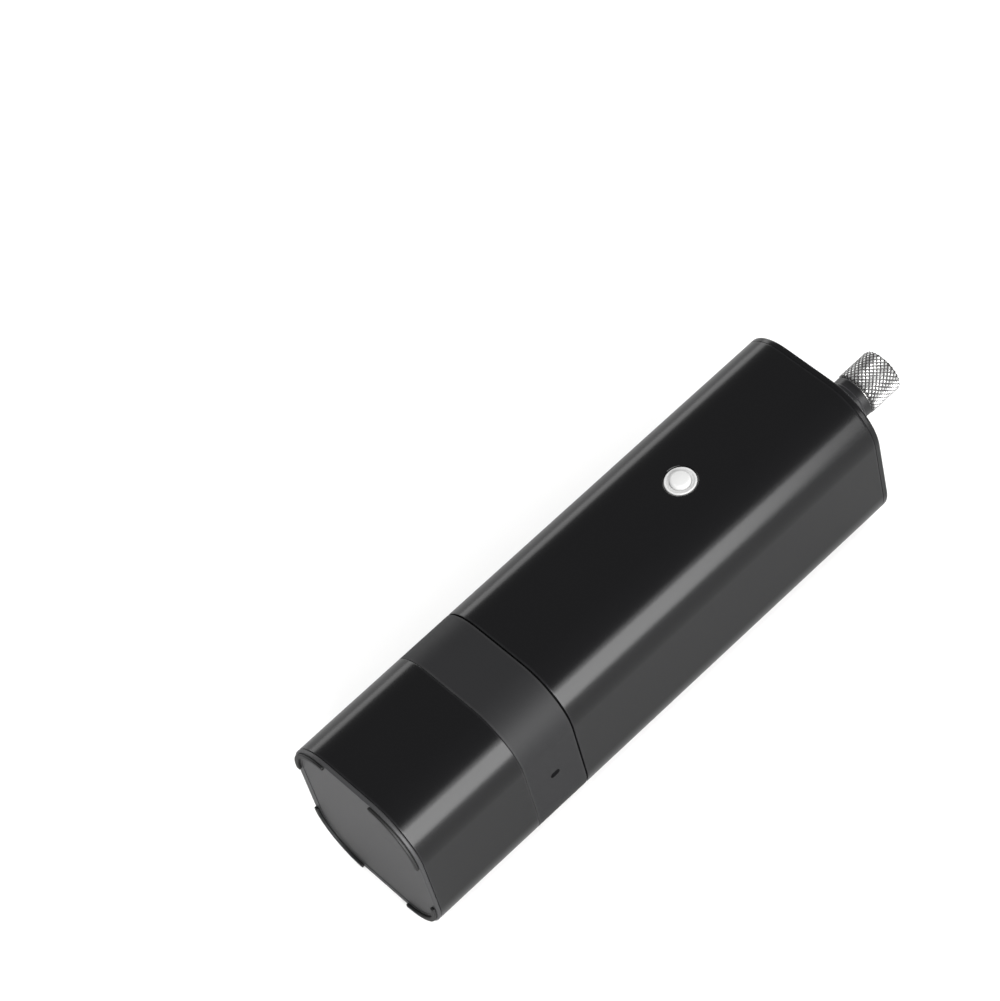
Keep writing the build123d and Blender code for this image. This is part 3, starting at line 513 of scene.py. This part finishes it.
def make_base():
    """Base plate with a shallow sunk panel inside the feet, and its plug."""
    x0, x1 = base_low.x, sleeve_low.x
    border, sunk, lap = 2.3 * MM, 0.12 * MM, 0.2 * MM
    plate = body_block("base_plate", x0, x1)
    edit(plate)
    choose(plate, "faces", lambda f: f.normal.x < -0.9)
    bpy.ops.mesh.inset(thickness=border, use_even_offset=True)
    bpy.ops.mesh.extrude_region_move(TRANSFORM_OT_translate={"value": (sunk, 0, 0)})
    done()
    edit(plate, "EDGE")
    choose(plate, "edges", lambda e: any(all(abs(v.co.x - x) < NEAR for v in e.verts) for x in (x0, x1))
           and any(abs(f.normal.x) < 0.5 for f in e.link_faces) and edge_is_outer(e))
    bpy.ops.mesh.bevel(offset=CAP_BREAK * 0.8, segments=3, profile=0.5, affect="EDGES")
    done()
    plug = body_tube("base_plug", x1 - lap, base_high.x, SHELL_WALL, SHELL_WALL + PLUG_GAP)
    modify(plate, "BOOLEAN", operation="UNION", solver="EXACT", object=plug)
    bpy.data.objects.remove(plug)
    smooth(plate)
    return place_piece(plate, "battery_pack", "base_grey", base_moulding, "base_cap")


def edge_is_outer(edge):
    """True for an edge on the body's outer faces."""
    middle = (edge.verts[0].co + edge.verts[1].co) / 2
    half_y = (casing_high.y - casing_low.y) / 2
    half_z = (casing_high.z - casing_low.z) / 2
    skin = 0.3 * MM
    y, z = abs(middle.y), abs(middle.z - AXIS_Z)
    flat_y, flat_z = half_y - CORNER, half_z - CORNER
    if y > flat_y and z > flat_z:
        return math.hypot(y - flat_y, z - flat_z) > CORNER - skin
    return y > half_y - skin or z > half_z - skin


def make_feet():
    """Four rubber lips, one round each corner: a ring parted by two cross-shaped gaps."""
    inset, width, edge_round = 0.45 * MM, 1.15 * MM, 0.2 * MM
    gap_y, gap_z, through, across = 15.4 * MM, 18.4 * MM, 8 * MM, 80 * MM
    x0, x1 = feet_low.x, base_low.x
    ring = body_tube("base_feet", x0, x1, width, inset)
    for name, size in (("gap_y", (through, gap_y, across)), ("gap_z", (through, across, gap_z))):
        bpy.ops.mesh.primitive_cube_add(size=1, location=(x0, 0, AXIS_Z))
        bpy.context.object.scale = size
        cut_away(ring, named(name))
    soften(ring, edge_round)
    smooth(ring)
    return place_piece(ring, "battery_pack", "foot_grey", foot_rubber, "corner_feet")


def make_top():
    """Top plate with its ring of intake holes and its plug."""
    x0, x1 = casing_high.x, cap_high.x
    plate = body_block("top_plate", x0, x1)
    edit(plate, "EDGE")
    choose(plate, "edges", lambda e: all(v.co.x > x1 - NEAR for v in e.verts))
    bpy.ops.mesh.bevel(offset=CAP_BREAK, segments=4, profile=0.5, affect="EDGES")
    done()
    lap = 0.2 * MM
    plug = body_tube("top_plug", cap_low.x, x0 + lap, SHELL_WALL, SHELL_WALL + PLUG_GAP)
    modify(plate, "BOOLEAN", operation="UNION", solver="EXACT", object=plug)
    bpy.data.objects.remove(plug)
    cutters = [turned("stem_hole", [(x0 - PAST, STEM_HOLE), (x1 + PAST, STEM_HOLE)],
                      centre=OUTLET, closed=False)]
    count, circle = 8, 12 * MM
    hole, drop, rise, wide = 0.8 * MM, 0.2 * MM, 0.4 * MM, 1.4 * MM
    for index in range(count):
        angle = 2 * math.pi * (index + 0.5) / count
        spot = (OUTLET[0] + circle * math.cos(angle), OUTLET[1] + circle * math.sin(angle))
        cutters.append(turned("intake_hole", [(x0 - PAST, hole), (x1 - drop, hole), (x1 + rise, wide)],
                              centre=spot, vertices=32, closed=False))
    cut_away(plate, *cutters)
    mark_rims(plate, x1)
    smooth(plate)
    return place_piece(plate, "casing", "shell_black", anodised_shell, "top_cap")


# ------------------------------------------------------------------ outlet
def make_collar():
    """Turned black ring under the nut, stepped in a little below its top."""
    x0, x1 = collar_low.x, collar_high.x
    radius = (collar_high.y - collar_low.y) / 2
    step, drop, edge_round = 2.1 * MM, 0.28 * MM, 0.12 * MM
    stations = [(x0, STEM_HOLE), (x0, radius), (x1 - step - drop, radius), (x1 - step, radius - drop),
                (x1, radius - drop), (x1, STEM_HOLE), (x0, STEM_HOLE)]
    ring = turned("outlet_ring", stations, centre=OUTLET)
    soften(ring, edge_round, segments=2)
    mark_rims(ring, x1, x1 - step - drop / 2, reach=0.35 * MM)
    smooth(ring)
    return place_piece(ring, "casing", "collar_black", anodised_collar, "outlet_collar")


def make_nut():
    """Knurled nut: a barrel of low and high points makes the crossed diamonds."""
    x0, x1 = nut_low.x, nut_high.x
    radius = (nut_high.y - nut_low.y) / 2
    teeth, rows, depth = 30, 15, 0.46 * MM
    end_drop, flat = 0.35 * MM, 0.3 * MM
    step = (x1 - x0) / rows
    bpy.ops.mesh.primitive_circle_add(vertices=2 * teeth, radius=radius, location=(x0, *OUTLET),
                                      rotation=(0, math.pi / 2, 0))
    nut = named("knurled_nut")
    edit(nut, "EDGE")
    bpy.ops.mesh.select_all(action="SELECT")
    for row in range(rows):
        bpy.ops.mesh.extrude_edges_move(TRANSFORM_OT_translate={"value": (step, 0, 0)})

    def low_point(vert):
        row = round((vert.co.x - x0) / step)
        column = round(math.atan2(vert.co.z - OUTLET[1], vert.co.y - OUTLET[0]) / (math.pi / teeth))
        return (row + column) % 2 == 0

    bpy.ops.mesh.select_mode(type="VERT")
    choose(nut, "verts", low_point)
    sink = (radius - depth) / radius
    bpy.ops.transform.resize(value=(1, sink, sink), center_override=(x0, *OUTLET))
    choose(nut, "verts", lambda v: min(v.co.x - x0, x1 - v.co.x) < step / 2)
    sink = (radius - end_drop) / radius
    bpy.ops.transform.resize(value=(1, sink, sink), center_override=(x0, *OUTLET))
    bpy.ops.mesh.select_all(action="SELECT")
    bpy.ops.mesh.quads_convert_to_tris(quad_method="SHORTEST_DIAGONAL")
    choose(nut, "verts", lambda v: not low_point(v) and min(v.co.x - x0, x1 - v.co.x) > step / 2)
    bpy.ops.mesh.bevel(offset=flat, affect="VERTICES")
    done()
    # rim attribute on the knurl and the nut's inside, for the painted groove shade and crest highlight
    mark_heights(nut, radius - depth, radius - 0.25 * depth)
    core = nut_core(x0, x1, radius)
    mark_heights(core, 0.0, radius / 4)
    nut = join(nut, core)
    return place_piece(nut, "outlet_nut", "nut_chrome", nut_plating, "swivel_nut")


def mark_heights(piece, low, high):
    """Attribute rim: 0 at the low distance from the outlet's axis, rising to 1 at the high one; on the nut
    this paints the grooves dark as painted shade and the crests bright as a painted highlight.
    """
    rim = piece.data.attributes.new("rim", "FLOAT", "POINT")
    heights = [math.hypot(v.co.y - OUTLET[0], v.co.z - OUTLET[1]) for v in piece.data.vertices]
    rim.data.foreach_set("value", [min(1.0, max(0.0, (h - low) / (high - low))) for h in heights])


def nut_core(x0, x1, radius):
    """Inside of the nut: end faces, mouth, thread grooves, relief and the back wall's hole."""
    rim, under_knurl, dip = radius - 0.92 * MM, radius - 0.9 * MM, 0.05 * MM
    minor, major, pitch = 4.283 * MM, 4.864 * MM, 0.907 * MM
    groove_start, groove_bottom, groove_end = 0.12 * MM, 0.45 * MM, 0.78 * MM
    hole, relief, mouth = 3.48 * MM, 4.7 * MM, 0.6 * MM
    back, thread = x0 + 1.25 * MM, x0 + 3.05 * MM
    stations = [(x0 + dip, under_knurl), (x0, rim), (x0, hole), (back, hole), (back, relief),
                (thread, relief), (thread, minor)]
    along = thread
    while along + pitch < x1 - mouth:
        stations += [(along + groove_start, minor), (along + groove_bottom, major),
                     (along + groove_end, minor)]
        along += pitch
    stations += [(x1 - mouth, minor), (x1, minor + mouth), (x1, rim), (x1 - dip, under_knurl),
                 (x0 + dip, under_knurl)]
    core = turned("nut_core", stations, centre=OUTLET, vertices=64)
    only(core)
    bpy.ops.object.shade_smooth_by_angle(angle=math.radians(30))
    return core


# ------------------------------------------------------------------ button
def make_bezel():
    """White rim of the button: a thin raised lip round a sunk floor."""
    top, bottom = bezel_high.z, bezel_low.z
    flange_top, floor = bottom + 0.9 * MM, top - 0.3 * MM
    rim, lip, foot, bore = 3.86 * MM, 3.42 * MM, 3.17 * MM, 2.58 * MM
    flange, edge_round = (bezel_high.x - bezel_low.x) / 2, 0.19 * MM
    stations = [(bottom, bore), (bottom, flange), (flange_top, flange), (flange_top, rim),
                (top, rim), (top, lip), (floor, foot), (floor, bore), (bottom, bore)]
    ring = turned("button_rim", stations, axis="Z", centre=(BUTTON_X, 0))
    soften(ring, edge_round, segments=4, angle=25)
    smooth(ring)
    return place_piece(ring, "casing", "button_white", button_plastic, "button_bezel")


def make_button():
    """Raised cap of the button: straight foot, generous shoulder, slightly crowned top."""
    top, bottom = button_high.z, button_low.z
    radius, flange = 2.55 * MM, (button_high.x - button_low.x) / 2
    flange_top, middle = bottom + 0.78 * MM, 0.4 * MM
    shoulder, crown, steps = 0.7 * MM, 0.1 * MM, 6
    stations = [(bottom, middle), (bottom, flange), (flange_top, flange), (flange_top, radius),
                (top - shoulder - crown, radius)]
    for step in range(1, steps + 1):
        angle = math.pi / 2 * step / steps
        stations.append((top - crown - shoulder + shoulder * math.sin(angle),
                         radius - shoulder + shoulder * math.cos(angle)))
    for share in (0.8, 0.5, 0.2, 0.05):
        stations.append((top - crown * share * share, (radius - shoulder) * share))
    cap = turned("button_dome", stations, axis="Z", centre=(BUTTON_X, 0), closed=False)
    smooth(cap, 40)
    return place_piece(cap, "button", "button_white", button_plastic, "button_cap")


make_casing()
make_sleeve()
make_band()
make_window()
make_base()
make_feet()
make_top()
make_collar()
make_nut()
make_bezel()
make_button()

# ------------------------------------------------------------------ pieces kept from the frame
INNER = {
    "brass": surface("turned_brass", (0.62, 0.44, 0.17), 0.24, metallic=1.0, stretch=(8, 1, 1), grain=900),
    "felt": surface("filter_felt", (0.62, 0.61, 0.56), 0.95, grain=2600, bump=0.8, flecks=0.3, sheen=0.3),
    "seal_rubber": surface("seal_rubber", (0.012, 0.012, 0.012), 0.6, grain=3500, bump=0.2),
    "silicone": surface("silicone_hose", (0.55, 0.57, 0.58), 0.38, grain=1800, bump=0.1),
    "spring_steel": surface("spring_steel", (0.45, 0.45, 0.46), 0.28, metallic=1.0, grain=3000),
    "switch_black": surface("switch_moulding", (0.015, 0.015, 0.016), 0.45, grain=5000),
    "circuit_board": surface("board_mask", (0.008, 0.075, 0.030), 0.30, grain=2200, flecks=0.35, coat=0.4),
    "screw_steel": surface("screw_steel", (0.56, 0.56, 0.55), 0.30, metallic=1.0, grain=3500),
    "chip_black": surface("chip_moulding", (0.012, 0.012, 0.013), 0.5, grain=6000, bump=0.3),
    "motor_steel": surface("motor_can_steel", (0.50, 0.50, 0.51), 0.34, metallic=1.0, stretch=ALONG),
    "moulded_black": surface("moulded_black", (0.016, 0.016, 0.017), 0.5, grain=5500, bump=0.3),
    "magnet_grey": surface("ferrite_grey", (0.07, 0.07, 0.075), 0.65, grain=3500, bump=0.4, flecks=0.3),
    "contact_gold": surface("gold_plating", (0.83, 0.60, 0.22), 0.2, metallic=1.0, grain=4000),
    "shaft_steel": surface("ground_steel", (0.55, 0.55, 0.57), 0.2, metallic=1.0, stretch=(1, 6, 6)),
    "pump_plastic": surface("glass_filled_plastic", (0.045, 0.045, 0.05), 0.48, grain=3000, flecks=0.5),
    "rod_plastic": surface("natural_acetal", (0.68, 0.67, 0.62), 0.4, grain=3000, mottle=0.1),
    "bearing_steel": surface("bearing_steel", (0.6, 0.6, 0.61), 0.12, metallic=1.0),
    "cradle_plastic": surface("cradle_moulding", (0.024, 0.024, 0.026), 0.52, grain=4500, bump=0.3),
    "foam": surface("open_foam", (0.035, 0.035, 0.035), 0.95, grain=1500, bump=1.0, depth=0.1 * MM),
    "wire_red": surface("wire_sleeving", (0.35, 0.02, 0.015), 0.42, grain=2500),
    "nickel": surface("nickel_strip", (0.6, 0.57, 0.52), 0.3, metallic=1.0, stretch=ALONG),
    "cell_wrap": surface("cell_wrap", (0.02, 0.11, 0.20), 0.26, grain=1500, mottle=0.1, coat=0.3),
    "port_steel": surface("port_steel", (0.55, 0.55, 0.56), 0.25, metallic=1.0, grain=3500),
    "light_body": surface("lamp_body", (0.75, 0.75, 0.68), 0.35, grain=2500),
}

slot_of = {part["node"]: part["material_slot"] for part in frame["record"]["subparts"]}
for name, part in frame["nodes"].items():
    if slot_of[name] in INNER:
        part.data.materials.clear()
        part.data.materials.append(INNER[slot_of[name]])


# ------------------------------------------------------------------ floor, lights and camera
def make_floor():
    """Pale paper, seen bright and lighting the body less than it is seen."""
    bpy.ops.mesh.primitive_plane_add(size=6, location=(0, 0, 0))
    floor = named("floor")
    material = surface("floor_paper", (0.95, 0.95, 0.945), 0.75, grain=900, bump=0.02, mottle=0.02)
    floor.data.materials.append(material)
    tree = material.node_tree
    shader = tree.nodes["Principled BSDF"]
    seen = add(tree, "ShaderNodeLightPath")
    shade = add(tree, "ShaderNodeMix", data_type="RGBA")
    shade.inputs["A"].default_value = (0.42, 0.42, 0.42, 1)
    tree.links.new(seen.outputs["Is Camera Ray"], shade.inputs["Factor"])
    tree.links.new(shader.inputs["Base Color"].links[0].from_socket, shade.inputs["B"])
    tree.links.new(shade.outputs["Result"], shader.inputs["Base Color"])


def softbox(name, place, aim, size, power):
    """Rectangular lamp at a place, turned to the aim."""
    light = bpy.data.lights.new(name, "AREA")
    light.shape = "RECTANGLE"
    light.size, light.size_y = size
    light.energy = power
    lamp = bpy.data.objects.new(name, light)
    scene.collection.objects.link(lamp)
    lamp.location = place
    lamp.rotation_euler = (Vector(aim) - Vector(place)).to_track_quat("-Z", "Y").to_euler()


def make_lights():
    """Grey room, a long box on the charge light's side, a low one behind, and an even fill."""
    world = bpy.data.worlds.new("studio")
    world.use_nodes = True
    world.node_tree.nodes["Background"].inputs["Color"].default_value = (0.24, 0.24, 0.243, 1)
    scene.world = world
    middle = (0, 0, 0.03)
    softbox("long_softbox", (-0.22, -1.05, 0.37), middle, (1.5, 0.72), 26.5)
    softbox("upper_softbox", (-0.22, -1.05, 0.86), middle, (1.5, 0.28), 3.8)
    softbox("low_back", (0.3, 1.3, 0.22), middle, (1.8, 0.36), 4.2)
    fill = bpy.data.objects.new("fill", bpy.data.lights.new("fill", "SUN"))
    fill.data.energy = 3.1
    fill.data.angle = math.radians(150)
    fill.visible_glossy = False
    scene.collection.objects.link(fill)


def make_camera():
    """View from above the base end, on the charge light's side."""
    azimuth, elevation, roll = math.radians(29.46), math.radians(54.1), math.radians(-17.22)
    target, distance = Vector((-0.875, 43.3, 23.4)) * MM, 898.4 * MM
    ahead = Vector((math.sin(azimuth) * math.cos(elevation), math.cos(azimuth) * math.cos(elevation),
                    -math.sin(elevation)))
    camera = bpy.data.objects.new("camera", bpy.data.cameras.new("camera"))
    scene.collection.objects.link(camera)
    camera.data.lens = 135.5
    camera.data.clip_start = 0.05
    camera.location = target - ahead * distance
    camera.rotation_mode = "QUATERNION"
    level = ahead.to_track_quat("-Z", "Y").to_matrix()
    camera.rotation_quaternion = (level @ Matrix.Rotation(roll, 3, "Z")).to_quaternion()
    scene.camera = camera


make_floor()
make_lights()
make_camera()
